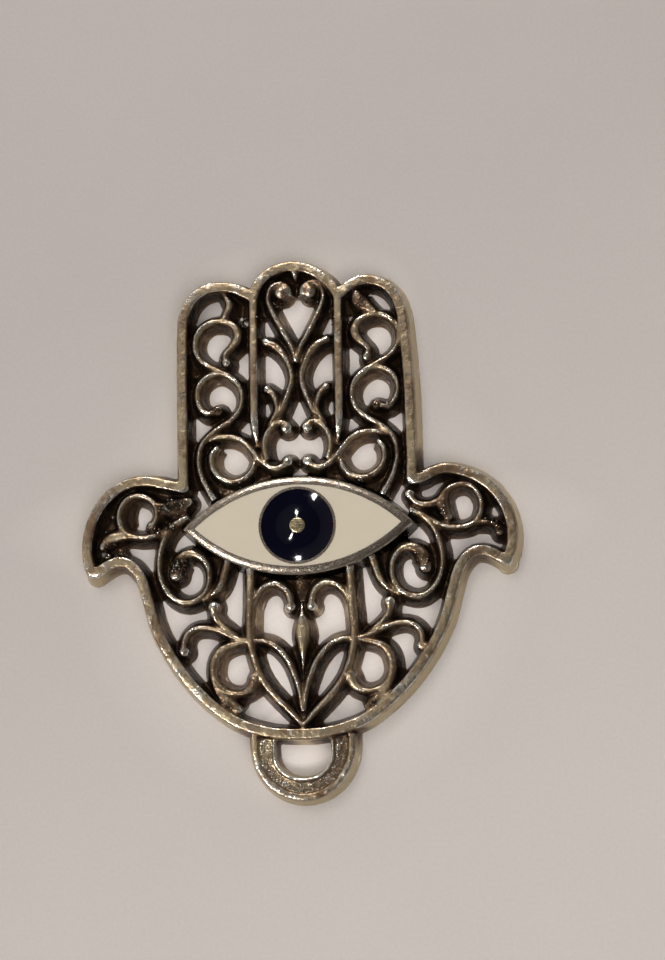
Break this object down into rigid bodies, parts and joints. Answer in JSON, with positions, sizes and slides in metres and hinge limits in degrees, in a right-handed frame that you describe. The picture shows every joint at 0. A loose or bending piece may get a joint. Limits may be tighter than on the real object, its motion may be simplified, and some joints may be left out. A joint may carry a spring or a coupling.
{
  "type": "hamsa pendant",
  "caption": "Flat openwork pendant in the shape of an open hand, cast with scrollwork inside its frame, an enamelled eye across the palm and a wide flat bail below the palm.",
  "frame": {"origin": "middle of the eye, on the pendant's flat back", "axes": "+Z out of the decorated face, +Y along the hand towards the tips of the fingers, +X to the right as one looks at the face"},
  "size_m": [0.0492, 0.0608, 0.0028],
  "materials": {
    "antiqued_metal": "antiqued silver colour, polished on the ridges and dark in the recesses",
    "white_enamel": "glossy cream enamel",
    "blue_enamel": "glossy, nearly black blue enamel"
  },
  "bodies": {
    "root": {"hamsa_casting": "antiqued_metal", "white_enamel": "white_enamel", "blue_enamel": "blue_enamel"}
  },
  "joints": []
}
